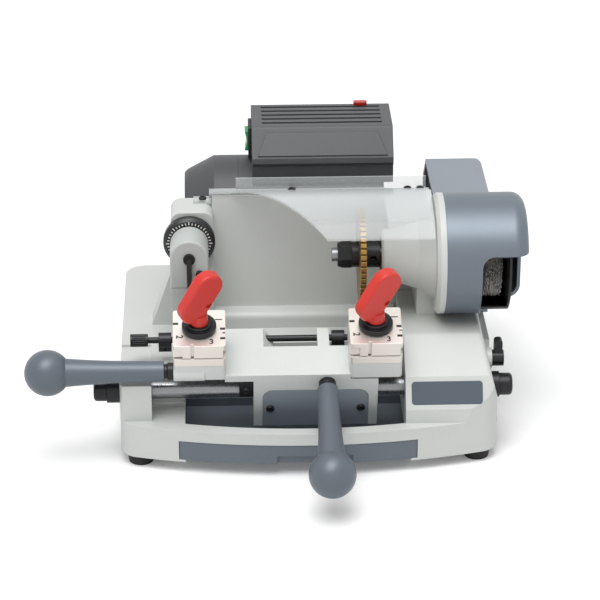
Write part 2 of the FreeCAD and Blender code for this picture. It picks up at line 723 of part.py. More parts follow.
def gauge_hubs():
    """Two hubs on the gauge rod, each with its finger."""
    hubs = []
    for x in gauge_hub_places():
        hub = rod(X_AXIS, V(x, GAUGE_Y, GAUGE_Z), GAUGE_HUB_L, GAUGE_HUB_R)
        hub = hub.fuse(box(x, x + GAUGE_HUB_L, GAUGE_Y - 4, GAUGE_Y + 4, GAUGE_Z - GAUGE_ARM, GAUGE_Z))
        hub = hub.cut(rod(X_AXIS, V(x - 1, GAUGE_Y, GAUGE_Z), GAUGE_HUB_L + 2, GAUGE_R))
        pin = V(x + GAUGE_HUB_L / 2, GAUGE_Y - 5, GAUGE_Z - GAUGE_ARM + 2.5)
        hubs.append(lean(hub.cut(rod(Y_AXIS, pin, 3, 1.2))))
    return Part.makeCompound(hubs)


def stop_bracket():
    """Small stop bracket screwed to the apron's left side."""
    block = rounded_box(APRON_X0 - 12, APRON_X0, APRON_FRONT + 1, -SHAFT_R - 1, 3, 20, 2, Y_AXIS)
    screw = button_screw(V(APRON_X0 - 6, APRON_FRONT + 1, 11), V(0, -1, 0), 3.0)
    return lean(block.fuse(screw))


def lock_knob_axis():
    """Middle of the lock knob's seat on the hump's right side."""
    return V(BASE_W / 2 - 3, HUMP_EDGE, SHAFT_Z + 16)


def lock_knob_boss():
    """Round boss that the lock knob seats on."""
    return rod(X_AXIS, lock_knob_axis() - X_AXIS * HUMP_DRAFT, HUMP_DRAFT, 9)


def lock_knob_hole():
    """Hole for the lock knob's stem."""
    return rod(X_AXIS, lock_knob_axis() - X_AXIS * 12, 14, 4 + RUN_FIT)


def lock_knob():
    """Wing knob that locks the carriage."""
    at = lock_knob_axis()
    knob = rod(X_AXIS, at - X_AXIS * 10, 12, 4)
    knob = knob.fuse(rod(X_AXIS, at + X_AXIS * WALL_GAP, 10, 7))
    wing = box(at.x + 2, at.x + 9, at.y - 4, at.y + 4, at.z - 5, at.z + 18)
    wing = round_edges(wing, 2.5, lambda e: runs_along(e, Y_AXIS))
    return knob.fuse(wing).removeSplitter()


def wall_outline():
    """Side outline of the slanted back wall."""
    return [
        (WALL_LOW_Y, DECK_TOP),
        (WALL_LOW_Y + WALL_T, DECK_TOP),
        (WALL_TOP_Y + WALL_T, HEAD_TOP),
        (WALL_TOP_Y, HEAD_TOP),
    ]


def head_casting():
    """Upper casting: back wall, tracer tower and spindle barrel with its rim."""
    body = prism_x(wall_outline(), TOWER_X1 - 1, RIM_X0 + 1)
    rear = WALL_LOW_Y + WALL_T + 10
    foot = box(TOWER_X0 + 6, HUMP_X0 - 2, WALL_LOW_Y - 14, rear, DECK_TOP, DECK_TOP + HEAD_FOOT_H)
    body = body.fuse(round_edges(foot, 6, lambda e: runs_along(e, X_AXIS) and e.BoundBox.ZMin > DECK_TOP + 1))
    tower = box(TOWER_X0, TOWER_X1, TOWER_FRONT, WALL_TOP_Y + WALL_T, DECK_TOP, TOWER_TOP)
    brow = round_edges(tower, 9, lambda e: runs_along(e, Y_AXIS) and e.BoundBox.ZMin > TOWER_TOP - 1)
    body = body.fuse(brow)
    web = [(TOWER_X0 + 1, TRACER_Z - QUILL_DROP), (TOWER_X0 - 18, DECK_TOP), (TOWER_X0 + 1, DECK_TOP)]
    wire = Part.makePolygon([V(x, TOWER_FRONT + 4, z) for x, z in web + web[:1]])
    body = body.fuse(Part.Face(wire).extrude(V(0, WALL_TOP_Y, 0)))
    profile = [(BARREL_X0, BARREL_R0 - 2), (BARREL_X0 + 2, BARREL_R0), (RIM_X0 - 14, BARREL_R1),
               (RIM_X0, BARREL_R1 + 8), (RIM_X0, RIM_R - 3), (RIM_X0 + 3, RIM_R), (RIM_X1, RIM_R)]
    body = body.fuse(turned(profile, X_AXIS, spin_at(0)))
    body = body.fuse(box(RIM_X0 - 14, RIM_X0 + 3, SPIN_Y - 8, WALL_TOP_Y + 6, HUMP_TOP, SPIN_Z - 8))
    body = body.fuse(box(BARREL_X0 + 6, RIM_X0 + 3, SPIN_Y, WALL_TOP_Y + WALL_T, SPIN_Z - 12, HEAD_TOP - 2))
    body = body.removeSplitter()
    body = body.cut(rod(X_AXIS, spin_at(BARREL_X0 - 1), RIM_X1 - BARREL_X0 + 2, BARREL_BORE))
    quill_bore = rod(Y_AXIS, V(tracer_x(), TOWER_FRONT - 1, TRACER_Z), 26, QUILL_STEM_R + RUN_FIT)
    return body.cut(quill_bore)


def tracer_x():
    """X of the tracer, one pitch to the left of the cutter."""
    return CUTTER_X - PITCH


def quill_front():
    """Front face of the quill."""
    return TOWER_FRONT - WALL_GAP - DIAL_T - DIAL_GAP - QUILL_L


def tracer_quill():
    """Sliding quill: stem in the tower, and a nose with a rounded top that clamps the tracer."""
    x = tracer_x()
    front = quill_front()
    half = QUILL_W / 2
    nose = rod(Y_AXIS, V(x, front, TRACER_Z), QUILL_L, half)
    nose = nose.fuse(box(x - half, x + half, front, front + QUILL_L, TRACER_Z - QUILL_DROP, TRACER_Z))
    nose = nose.removeSplitter()
    nose = round_edges(nose, 2.0, lambda e: abs(e.BoundBox.YMax - front) < 0.01)
    stem_l = DIAL_T + DIAL_GAP + 22
    quill = nose.fuse(rod(Y_AXIS, V(x, front + QUILL_L - 1, TRACER_Z), stem_l + 1, QUILL_STEM_R))
    quill = quill.cut(rod(Y_AXIS, V(x, front - 1, TRACER_Z), 22, TRACER_SHANK_R))
    slit = box(x - TRACER_T / 2 - WALL_GAP, x + TRACER_T / 2 + WALL_GAP, front - 1, front + 18,
               TRACER_Z - QUILL_DROP - 1, TRACER_Z)
    return quill.cut(slit)


def tracer_point():
    """Tracer: round shank in the quill, with a thin blade that drops to its tip."""
    x = tracer_x()
    front = quill_front()
    shank = rod(Y_AXIS, V(x, front - 2, TRACER_Z), 22, TRACER_SHANK_R)
    blade = [
        (front + 16, TRACER_Z),
        (front + 16, TRACER_Z - QUILL_DROP + 4),
        (front - TRACER_REACH + 3, TRACER_Z - TRACER_DROP),
        (front - TRACER_REACH, TRACER_Z - TRACER_DROP + 4),
        (front - 2, TRACER_Z),
    ]
    return shank.fuse(prism_x(blade, x - TRACER_T / 2, x + TRACER_T / 2)).removeSplitter()


def tracer_clamp_screw():
    """Cap screw that pinches the tracer in the quill."""
    seat = V(tracer_x() + 9, quill_front(), TRACER_Z - 14)
    head = rod(V(0, -1, 0), seat, 4, 3.6)
    return head.cut(rod(V(0, -1, 0), seat + V(0, -2, 0), 4, 1.6))


def tracer_dial():
    """Graduated ring nut on the quill's stem."""
    at = V(tracer_x(), TOWER_FRONT - WALL_GAP - DIAL_T, TRACER_Z)
    rim = 1.2
    profile = [(0, DIAL_R - 2.5), (rim, DIAL_R - rim), (rim * 2, DIAL_R)]
    profile += [(DIAL_T - rim, DIAL_R), (DIAL_T, DIAL_R - rim)]
    dial = turned(profile, Y_AXIS, at)
    dial = dial.cut(rod(Y_AXIS, at - Y_AXIS, DIAL_T + 2, QUILL_STEM_R + RUN_FIT))
    inner = TRACER_Z + QUILL_W / 2 + 0.6
    tick = box(at.x - 0.3, at.x + 0.3, at.y - 1, at.y + 0.3, inner, TRACER_Z + DIAL_R - 2.9)
    for step in range(40):
        mark = tick.copy()
        mark.rotate(at, Y_AXIS, 9 * step)
        dial = dial.cut(mark)
    return dial


def oval(a, ra, b, rb, way):
    """The flat piece round two circles and the lines that touch both."""
    span = b - a
    along = V(span).normalize()
    across = V(way).normalize().cross(along)
    back = (ra - rb) / span.Length
    out = (1 - back ** 2) ** 0.5
    left = along * back + across * out
    right = along * back - across * out
    corners = [a + left * ra, b + left * rb, b + right * rb, a + right * ra]
    body = Part.Face(Part.makePolygon(corners + corners[:1])).extrude(way)
    unit = V(way).normalize()
    body = body.fuse(rod(unit, a, way.Length, ra))
    return body.fuse(rod(unit, b, way.Length, rb)).removeSplitter()


def spindle_shaft():
    """Cutter spindle, from the nut's thread to the brush."""
    nut_x = CUTTER_X - CUTTER_T / 2 - 6 - NUT_L
    thread = rod(X_AXIS, spin_at(nut_x - 5), NUT_L + 6, SPIN_R - 2)
    shaft = rod(X_AXIS, spin_at(nut_x + NUT_L), BRUSH_X1 + 3 - nut_x - NUT_L, SPIN_R)
    return thread.fuse(shaft).removeSplitter()


def cutter():
    """Cutter wheel with a ring of fine teeth."""
    low = CUTTER_X - CUTTER_T / 2
    wheel = rod(X_AXIS, spin_at(low), CUTTER_T, CUTTER_R)
    wheel = wheel.cut(rod(X_AXIS, spin_at(low - 1), CUTTER_T + 2, SPIN_R))
    step = 360 / CUTTER_TEETH
    tip = SPIN_Z + CUTTER_R + 1
    root = SPIN_Z + CUTTER_R - TOOTH_DEPTH
    outline = [(SPIN_Y - 1.1, tip), (SPIN_Y + 1.1, tip), (SPIN_Y + 0.5, root), (SPIN_Y, root)]
    tooth = prism_x(outline, low - 1, low + CUTTER_T + 1)
    gaps = []
    for index in range(CUTTER_TEETH):
        gap = tooth.copy()
        gap.rotate(spin_at(0), X_AXIS, step * index)
        gaps.append(gap)
    return wheel.cut(Part.makeCompound(gaps))


def cutter_nut():
    """Hexagon nut that holds the cutter."""
    end = CUTTER_X - CUTTER_T / 2 - 6
    reach = NUT_W / 2 / cos(radians(30))
    turns = [radians(60 * k) for k in range(6)]
    corners = [(SPIN_Y + reach * cos(t), SPIN_Z + reach * sin(t)) for t in turns]
    nut = prism_x(corners, end - NUT_L, end)
    dome = rod(X_AXIS, spin_at(end - NUT_L), NUT_L, reach - 1.5, reach + 3)
    return nut.common(dome).cut(rod(X_AXIS, spin_at(end - NUT_L - 1), NUT_L + 2, SPIN_R - 2))


def cutter_collars():
    """Collars on both sides of the cutter; the right one has a hole for a tommy bar."""
    low = CUTTER_X - CUTTER_T / 2
    high = CUTTER_X + CUTTER_T / 2
    left = tube(X_AXIS, spin_at(low - 6), 6, 11, SPIN_R)
    right = tube(X_AXIS, spin_at(high), BARREL_X0 - CLEAR - high, 11.5, SPIN_R)
    hole = rod(V(0, -1, 0), V((high + BARREL_X0) / 2, SPIN_Y - SPIN_R, SPIN_Z), 6, 3)
    return Part.makeCompound([left, right.cut(hole)])


def spindle_bearings():
    """Two bearings in the barrel."""
    rings = []
    for x in (BARREL_X0 + 3, RIM_X1 - BEARING_W - 3):
        rings.append(tube(X_AXIS, spin_at(x), BEARING_W, BARREL_BORE, SPIN_R + RUN_FIT))
    return Part.makeCompound(rings)


def pulley(at, radius, bore):
    """Flanged pulley in the belt's plane."""
    half = BELT_W / 2 + 1
    wheel = rod(X_AXIS, at - X_AXIS * half, half * 2, radius)
    for side in (-half - 2, half):
        wheel = wheel.fuse(rod(X_AXIS, at + X_AXIS * side, 2, radius + BELT_T))
    wheel = wheel.removeSplitter()
    return wheel.cut(rod(X_AXIS, at - X_AXIS * (half + 3), half * 2 + 6, bore))


def spindle_pulley():
    """Pulley on the spindle."""
    return pulley(spin_at(PULLEY_X), SPIN_PULLEY_R, SPIN_R)


def motor_pulley():
    """Pulley on the motor's shaft."""
    return pulley(motor_at(PULLEY_X), MOTOR_PULLEY_R, MOTOR_SHAFT_R)


def drive_belt():
    """Flat belt round both pulleys."""
    way = X_AXIS * BELT_W
    start = PULLEY_X - BELT_W / 2
    a, ra = spin_at(start), SPIN_PULLEY_R + WALL_GAP
    b, rb = motor_at(start), MOTOR_PULLEY_R + WALL_GAP
    return oval(a, ra + BELT_T, b, rb + BELT_T, way).cut(oval(a, ra, b, rb, way))


def wire_brush():
    """Wire wheel on the spindle's right end."""
    return tube(X_AXIS, spin_at(BRUSH_X0), BRUSH_X1 - BRUSH_X0, BRUSH_R, SPIN_R)


def brush_hood():
    """Hood over the pulley and the brush, cut away in front of the brush."""
    length = HOOD_X1 - RIM_X1
    inner_r = RIM_R - HOOD_T

    def at_end(x):
        return lambda e: abs(e.BoundBox.XMin - x) < 0.01 and abs(e.BoundBox.XMax - x) < 0.01

    outer = round_edges(rod(X_AXIS, spin_at(RIM_X1), length, RIM_R), 12, at_end(HOOD_X1))
    inner = rod(X_AXIS, spin_at(RIM_X1 - 1), length - HOOD_T + 1, inner_r)
    hood = outer.cut(round_edges(inner, 12 - HOOD_T, at_end(HOOD_X1 - HOOD_T)))
    low = SPIN_Z - RIM_R - 1
    front = box(HOOD_STEP_X, HOOD_X1 + 1, SPIN_Y - RIM_R - 1, SPIN_Y + 15, low, SPIN_Z + HOOD_CUT)
    front = round_edges(front, 10, lambda e: runs_along(e, Y_AXIS) and e.BoundBox.XMax < HOOD_STEP_X + 1)
    return hood.cut(front).cut(belt_way(SPIN_Y + 15, SPIN_Y + RIM_R + 1))


def belt_way(y0, y1):
    """Clear way for the belt between the hood and its cover."""
    half = BELT_W / 2 + 5
    low = SPIN_Z - SPIN_PULLEY_R - 14
    return box(PULLEY_X - half, PULLEY_X + half, y0, y1, low, SPIN_Z + SPIN_PULLEY_R + BELT_T + 2)


def brush_housing():
    """Black chamber round the brush, open to the front and below."""
    outer = RIM_R - HOOD_T - WALL_GAP
    x0 = BRUSH_X0 - 6
    x1 = BRUSH_X1 + 6
    shell = rod(X_AXIS, spin_at(x0), x1 - x0, outer)
    shell = shell.cut(rod(X_AXIS, spin_at(x0 + 2), x1 - x0 - 4, outer - 2.5))
    shell = shell.cut(rod(X_AXIS, spin_at(x0 - 1), 5, SPIN_R + 4))
    window = box(x0 + 2, x1 - 2, SPIN_Y - RIM_R, SPIN_Y - 6, SPIN_Z - outer + 12, SPIN_Z + HOOD_CUT - 2)
    return shell.cut(window)


def belt_outline(inset):
    """Side outline of the belt cover, drawn in by an inset."""
    low = DECK_TOP
    return [
        (COVER_FRONT + inset, low),
        (COVER_FRONT + inset, COVER_TOP_Z - inset),
        (COVER_BACK - 28 - inset, COVER_TOP_Z - inset),
        (COVER_BACK - 4 - inset, COVER_TOP_Z - 24 - inset),
        (COVER_BACK - 4 - inset, low),
    ]


def belt_cover():
    """Cover over the belt, open on its left and below, standing on the deck."""
    outer = prism_x(belt_outline(0), COVER_X0, COVER_X1)
    outer = round_edges(outer, 7, lambda e: e.BoundBox.XMin > COVER_X1 - 0.1 and e.BoundBox.ZMin > DECK_TOP + 1)
    inner = prism_x(belt_outline(HOOD_T), COVER_X0 - 1, COVER_X1 - HOOD_T)
    cover = outer.cut(inner)
    return cover.cut(belt_way(COVER_FRONT - 1, COVER_FRONT + HOOD_T + 1))


def motor_housing():
    """Motor barrel with its end wall and the foot that bolts to the deck."""
    length = MOTOR_X1 - MOTOR_X0
    body = rod(X_AXIS, motor_at(MOTOR_X0), length, MOTOR_R)
    body = body.fuse(rod(X_AXIS, motor_at(MOTOR_X1), 8, MOTOR_SHAFT_R + 11))
    stand = box(MOTOR_X0 + 22, MOTOR_X1 - 22, MOTOR_Y - 28, MOTOR_Y + 28, DECK_TOP, MOTOR_Z - 30)
    body = body.fuse(stand).removeSplitter()
    body = body.cut(rod(X_AXIS, motor_at(MOTOR_X0 - 1), length - MOTOR_WALL + 1, MOTOR_R - MOTOR_WALL))
    return body.cut(rod(X_AXIS, motor_at(MOTOR_X1 - 10), 30, MOTOR_SHAFT_R + RUN_FIT))


def motor_end_cap():
    """Tapered fan cap with a ring of air slots in its end."""
    length = MOTOR_X0 - MOTOR_CAP_X
    wall = 3
    profile = [(0, MOTOR_CAP_R - 3), (3, MOTOR_CAP_R), (length * 0.55, MOTOR_R), (length, MOTOR_R)]
    cap = turned(profile, X_AXIS, motor_at(MOTOR_CAP_X))
    hollow = [(wall, MOTOR_CAP_R - wall), (length * 0.55, MOTOR_R - wall), (length + 1, MOTOR_R - wall)]
    cap = cap.cut(turned(hollow, X_AXIS, motor_at(MOTOR_CAP_X)))
    slot = box(MOTOR_CAP_X - 1, MOTOR_CAP_X + wall + 1, MOTOR_Y - 2, MOTOR_Y + 2, MOTOR_Z + 12, MOTOR_Z + 28)
    for step in range(10):
        gap = slot.copy()
        gap.rotate(motor_at(0), X_AXIS, 36 * step)
        cap = cap.cut(gap)
    return cap


def motor_rotor():
    """Rotor, fan and shaft of the motor."""
    left = MOTOR_CAP_X + 8
    right = PULLEY_X + BELT_W / 2 + 3
    shaft = rod(X_AXIS, motor_at(left), right - left, MOTOR_SHAFT_R)
    shaft = shaft.fuse(rod(X_AXIS, motor_at(MOTOR_X0 + 20), 70, MOTOR_R - MOTOR_WALL - 14))
    return shaft.fuse(rod(X_AXIS, motor_at(left + 6), 14, MOTOR_CAP_R - 10)).removeSplitter()


def box_outline(inset):
    """Side outline of the electrical box, drawn in by an inset."""
    low = BOX_LOW - inset
    return [
        (BOX_BACK - inset, low),
        (BOX_BACK - inset, BOX_TOP - inset),
        (BOX_FRONT_TOP + inset * 0.7, BOX_TOP - inset),
        (BOX_FRONT + inset, BOX_PANEL_LOW),
        (BOX_FRONT + inset, BOX_PANEL_LOW - 5),
        (BOX_FRONT + 4 + inset, BOX_PANEL_LOW - 9),
        (BOX_FRONT + 4 + inset, low),
    ]


def switch_middle():
    """Middle of the switch on the box's left wall."""
    return V(BOX_X0, (BOX_FRONT_TOP + BOX_BACK) / 2 - 2, MOTOR_Z + MOTOR_R + SWITCH_MID)


def switch_hole(grow):
    """Opening of the switch through the wall and the bezel."""
    at = switch_middle()
    wide = 7 + grow
    tall = SWITCH_HALF + grow
    return box(at.x - 8, at.x + BOX_WALL + 1, at.y - wide, at.y + wide, at.z - tall, at.z + tall)


def electrical_box():
    """Box on the motor: vents on top, slanted front, saddle below."""
    outer = prism_x(box_outline(0), BOX_X0, BOX_X1)
    outer = round_edges(outer, 4, lambda e: runs_along(e, X_AXIS) and e.BoundBox.ZMin > BOX_PANEL_LOW + 1)
    body = outer.cut(prism_x(box_outline(BOX_WALL), BOX_X0 + BOX_WALL, BOX_X1 - BOX_WALL))
    body = body.cut(rod(X_AXIS, motor_at(BOX_X0 - 1), BOX_X1 - BOX_X0 + 2, MOTOR_R + WALL_GAP))
    pitch = (BOX_BACK - BOX_FRONT_TOP) / 6
    for step in range(5):
        y = BOX_FRONT_TOP + pitch * (step + 1)
        body = body.cut(box(BOX_X0 + 9, BOX_X1 - 9, y - 2, y + 2, BOX_TOP - BOX_WALL - 1, BOX_TOP + 1))
    return body.cut(switch_hole(CLEAR))


def box_panel():
    """Bare plate on the box's slanted front."""
    top = V(0, BOX_FRONT_TOP, BOX_TOP)
    low = V(0, BOX_FRONT, BOX_PANEL_LOW)
    up = (top - low).normalize()
    out = X_AXIS.cross(up)
    start = low + up * 2
    end = top - up * 6
    corners = [start + X_AXIS * (BOX_X0 + 5), start + X_AXIS * (BOX_X1 - 5)]
    corners += [end + X_AXIS * (BOX_X1 - 13), end + X_AXIS * (BOX_X0 + 13)]
    return Part.Face(Part.makePolygon(corners + corners[:1])).extrude(out * 1.2)


def pilot_lamp():
    """Small lamp on top of the box."""
    x = BOX_X1 - 26
    y = BOX_BACK - 5
    return rounded_box(x - 6, x + 6, y - 3, y + 3, BOX_TOP, BOX_TOP + 3, 2, Z_AXIS)


def switch_bezel():
    """Frame of the switch on the box's left wall."""
    at = switch_middle()
    frame = rounded_box(at.x - 3, at.x, at.y - 12, at.y + 12, at.z - BEZEL_HALF, at.z + BEZEL_HALF, 2, X_AXIS)
    return frame.cut(switch_hole(CLEAR))


def switch_rocker():
    """Rocker of the switch, with two faces that meet in a shallow valley."""
    at = switch_middle()
    tall = SWITCH_HALF - 1
    outline = [(at.z - tall, at.x + 1), (at.z - tall, at.x - 6), (at.z, at.x - 4)]
    outline += [(at.z + tall, at.x - 6), (at.z + tall, at.x + 1)]
    wire = Part.makePolygon([V(x, at.y - 7, z) for z, x in outline + outline[:1]])
    return Part.Face(wire).extrude(V(0, 14, 0))


def power_inlet():
    """Mains inlet on the box's rear wall, with three pins in its socket."""
    x = (BOX_X0 + BOX_X1) / 2
    z = (BOX_TOP + BOX_LOW) / 2 - 2
    shell = rounded_box(x - 14, x + 14, BOX_BACK, BOX_BACK + 6, z - 10, z + 10, 3, Y_AXIS)
    shell = shell.cut(rounded_box(x - 11, x + 11, BOX_BACK + 1.5, BOX_BACK + 7, z - 7, z + 7, 2, Y_AXIS))
    for dx in (-6, 0, 6):
        shell = shell.fuse(box(x + dx - 1, x + dx + 1, BOX_BACK + 1, BOX_BACK + 5, z - 3, z + 3))
    return shell


def shield_arch():
    """Three points of the shield's curve, from the wall's top forward over the cutter."""
    rear = (SHIELD_BACK - 2, HEAD_TOP)
    middle = ((SHIELD_BACK + SHIELD_FRONT) / 2, HEAD_TOP + SHIELD_RISE)
    return rear, middle, (SHIELD_FRONT, HEAD_TOP - 1)


def clear_shield():
    """Clear guard bent from one sheet: strip on the wall, upright rear flange and curved front."""
    arch = [V(SHIELD_X0, y, z) for y, z in shield_arch()]
    lift = V(0, 0, SHIELD_T)
    low = Part.Arc(*arch).toShape()
    high = Part.Arc(*[p + lift for p in arch]).toShape()
    ends = [Part.makeLine(arch[0], arch[0] + lift), Part.makeLine(arch[2] + lift, arch[2])]
    sheet = Part.Face(Part.Wire([low, ends[1], high, ends[0]])).extrude(V(SHIELD_X1 - SHIELD_X0, 0, 0))
    plan = [(SHIELD_X1, SHIELD_BACK), (SHIELD_X1, SHIELD_FRONT - 1), (CUTTER_X - 30, SHIELD_FRONT - 1),
            (TOWER_X1 + 30, SHIELD_BACK - 26), (TOWER_X1 + 14, SHIELD_BACK)]
    sheet = sheet.common(prism_z(plan, HEAD_TOP - 10, HEAD_TOP + 40))
    rear = WALL_TOP_Y + WALL_T - 1
    step_x = TOWER_X1 - 1 - WALL_GAP
    strip = box(step_x - SHIELD_T, SHIELD_X1, SHIELD_BACK - 3, rear, HEAD_TOP, HEAD_TOP + SHIELD_T)
    strip = strip.fuse(box(step_x - SHIELD_T, step_x, SHIELD_BACK - 3, rear, TOWER_TOP, HEAD_TOP + SHIELD_T))
    strip = strip.fuse(box(SHIELD_X0, step_x, SHIELD_BACK - 3, rear, TOWER_TOP, TOWER_TOP + SHIELD_T))
    flange = box(TOWER_X1 + 20, SHIELD_X1, rear - SHIELD_T, rear, HEAD_TOP, HEAD_TOP + SHIELD_LIFT)
    return sheet.fuse(strip).fuse(flange).removeSplitter()


def shield_screws():
    """Button screws along the shield's rear strip."""
    screws = []
    spots = [(x, HEAD_TOP) for x in (-10, SHIELD_X1 - 16, SHIELD_X1 - 5)]
    for x, level in spots + [(TOWER_X1 - 9, TOWER_TOP)]:
        screws.append(button_screw(V(x, SHIELD_BACK + 3, level + SHIELD_T), Z_AXIS, 3.4))
    return Part.makeCompound(screws)


SINGLE_PIECES = [
    base_casting, name_plate, rubber_feet, chip_tray, shaft_bushes, carriage_shaft, shaft_end_caps,
    carriage_casting, carriage_cover_plate, cover_plate_screws, stop_bracket, gauge_rod, gauge_knob, gauge_hubs,
    lock_knob, head_casting, tracer_quill, tracer_point, tracer_clamp_screw, tracer_dial,
    spindle_shaft, cutter, cutter_nut, cutter_collars, spindle_bearings, spindle_pulley, motor_pulley, drive_belt,
    wire_brush, brush_hood, brush_housing, belt_cover, motor_housing, motor_end_cap, motor_rotor,
    electrical_box, box_panel, pilot_lamp, switch_bezel, switch_rocker, power_inlet, clear_shield, shield_screws,
]
SIDED_PIECES = [clamp_lower_jaw, clamp_upper_jaw, clamp_spring, clamp_washer, clamp_stud, clamp_knob]


def all_pieces():
    """Every piece under its node's name."""
    pieces = {make.__name__: make() for make in SINGLE_PIECES}
    for side in clamp_places():
        for make in SIDED_PIECES:
            pieces[side + "_" + make.__name__] = make(side)
    for side in handle_roots():
        pieces[side + "_handle_ferrule"] = handle_ferrule(side)
        pieces[side + "_handle_grip"] = handle_grip(side)
    return pieces


def main():
    """Write one file for each piece."""
    os.makedirs("parts", exist_ok=True)
    for name, shape in all_pieces().items():
        print(name, "solids", len(shape.Solids), "valid", shape.isValid(), "volume", round(shape.Volume))
        shape.exportStep("parts/" + name + ".step")


if __name__ == "__main__":
    main()
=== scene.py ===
"""Looks of a bench machine that copies keys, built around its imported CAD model."""

import bpy
import numpy as np
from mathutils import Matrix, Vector


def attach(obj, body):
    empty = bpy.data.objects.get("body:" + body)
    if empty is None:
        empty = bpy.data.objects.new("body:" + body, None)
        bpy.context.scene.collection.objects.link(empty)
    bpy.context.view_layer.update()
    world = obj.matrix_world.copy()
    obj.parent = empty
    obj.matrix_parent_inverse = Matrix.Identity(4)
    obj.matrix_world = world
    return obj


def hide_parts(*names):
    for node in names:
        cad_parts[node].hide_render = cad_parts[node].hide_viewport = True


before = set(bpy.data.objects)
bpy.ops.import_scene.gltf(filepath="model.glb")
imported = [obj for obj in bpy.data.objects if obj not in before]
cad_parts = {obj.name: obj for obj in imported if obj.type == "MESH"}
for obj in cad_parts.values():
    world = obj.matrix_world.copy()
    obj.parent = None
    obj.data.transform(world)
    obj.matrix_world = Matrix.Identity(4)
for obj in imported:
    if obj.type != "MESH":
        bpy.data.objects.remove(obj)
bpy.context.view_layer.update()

# Studio: a plain white floor under a soft sun and one soft box overhead.
# The camera stands 25 degrees above the bench, a little to the left of square,
# and far enough away that the view is almost free of perspective. Sizes here are in metres.
CAMERA_RISE = np.radians(25.0)
CAMERA_YAW = np.radians(2.0)
CAMERA_PLACE = (-0.0761, -2.0683, 1.0608)
SENSOR_MM = 36.0
LENS_MM = 156.0
FLOOR_HALF = 8.0
FLOOR_GREY = "#f7f7f7"
FLOOR_ROUGH = 0.8
FLOOR_GLOW = 0.12
WORLD_LIGHT = 0.45
SUN_LIGHT = 1.7
SUN_SPREAD = np.radians(40.0)
SUN_FROM = (-0.3, -0.6, 1.6)
BOX_LIGHT = 9.5
BOX_LIGHT_SIZE = 1.2
BOX_LIGHT_PLACE = (0.1, -0.25, 1.9)
WHITE = (1, 1, 1, 1)


def linear(code):
    """An sRGB hex code as linear red, green, blue and a full alpha.

    By the sRGB curve, a dark share is divided by 12.92 and any other follows a power of 2.4.
    """
    share = np.array([int(code[i:i + 2], 16) for i in (1, 3, 5)]) / 255
    curve = np.where(share <= 0.04045, share / 12.92, ((share + 0.055) / 1.055) ** 2.4)
    return (*curve.tolist(), 1.0)


def add(tree, kind, settings=None, values=None, links=None):
    """Adds one node with its settings, its fixed input values and its linked inputs."""
    made = tree.nodes.new(kind)
    for key, value in (settings or {}).items():
        setattr(made, key, value)
    for key, value in (values or {}).items():
        made.inputs[key].default_value = value
    for key, socket in (links or {}).items():
        tree.links.new(socket, made.inputs[key])
    return made


def start_material(name, code, roughness, metallic=0.0):
    """A new material of one colour, its node tree and its shader."""
    made = bpy.data.materials.new(name)
    made.use_nodes = True
    shader = made.node_tree.nodes["Principled BSDF"]
    shader.inputs["Base Color"].default_value = linear(code)
    shader.inputs["Roughness"].default_value = roughness
    shader.inputs["Metallic"].default_value = metallic
    return made, made.node_tree, shader


def new_piece(name, points, faces, material, smooth=False):
    """A mesh object at the origin, from an array of points and the corners of each face."""
    mesh = bpy.data.meshes.new(name)
    listed = faces if isinstance(faces, list) else faces.tolist()
    mesh.from_pydata(np.asarray(points).tolist(), [], listed)
    mesh.polygons.foreach_set("use_smooth", [smooth] * len(mesh.polygons))
    mesh.materials.append(material)
    mesh.update()
    piece = bpy.data.objects.new(name, mesh)
    bpy.context.scene.collection.objects.link(piece)
    return piece


scene = bpy.context.scene
scene.view_settings.view_transform = "Standard"
view_way = Vector((
    np.sin(CAMERA_YAW) * np.cos(CAMERA_RISE),
    np.cos(CAMERA_YAW) * np.cos(CAMERA_RISE),
    -np.sin(CAMERA_RISE),
))
lens = bpy.data.cameras.new("camera")
lens.sensor_width = SENSOR_MM
lens.lens = LENS_MM
camera = bpy.data.objects.new("camera", lens)
camera.location = CAMERA_PLACE
camera.rotation_euler = view_way.to_track_quat("-Z", "Y").to_euler()
scene.collection.objects.link(camera)
scene.camera = camera

# The sky is full white where it is seen straight, in glass or in a reflection, and dimmer as a light.
world = bpy.data.worlds.new("studio")
world.use_nodes = True
scene.world = world
sky = world.node_tree
seen = add(sky, "ShaderNodeLightPath")
direct = add(sky, "ShaderNodeMath", {"operation": "MAXIMUM"}, links={
    0: seen.outputs["Is Camera Ray"], 1: seen.outputs["Is Transmission Ray"]})
plain = add(sky, "ShaderNodeMath", {"operation": "MAXIMUM"}, links={
    0: direct.outputs[0], 1: seen.outputs["Is Glossy Ray"]})
level = add(sky, "ShaderNodeMapRange", values={"To Min": WORLD_LIGHT, "To Max": 1.0}, links={
    "Value": plain.outputs[0]})
sky.links.new(level.outputs[0], sky.nodes["Background"].inputs["Strength"])
sky.nodes["Background"].inputs["Color"].default_value = WHITE

sun = bpy.data.objects.new("sun", bpy.data.lights.new("sun", "SUN"))
sun.data.energy = SUN_LIGHT
sun.data.angle = SUN_SPREAD
sun.rotation_euler = (-Vector(SUN_FROM)).to_track_quat("-Z", "Y").to_euler()
scene.collection.objects.link(sun)
soft_box = bpy.data.objects.new("soft_box", bpy.data.lights.new("soft_box", "AREA"))
soft_box.data.energy = BOX_LIGHT
soft_box.data.size = BOX_LIGHT_SIZE
soft_box.location = BOX_LIGHT_PLACE
soft_box.rotation_euler = (-Vector(BOX_LIGHT_PLACE)).to_track_quat("-Z", "Y").to_euler()
scene.collection.objects.link(soft_box)

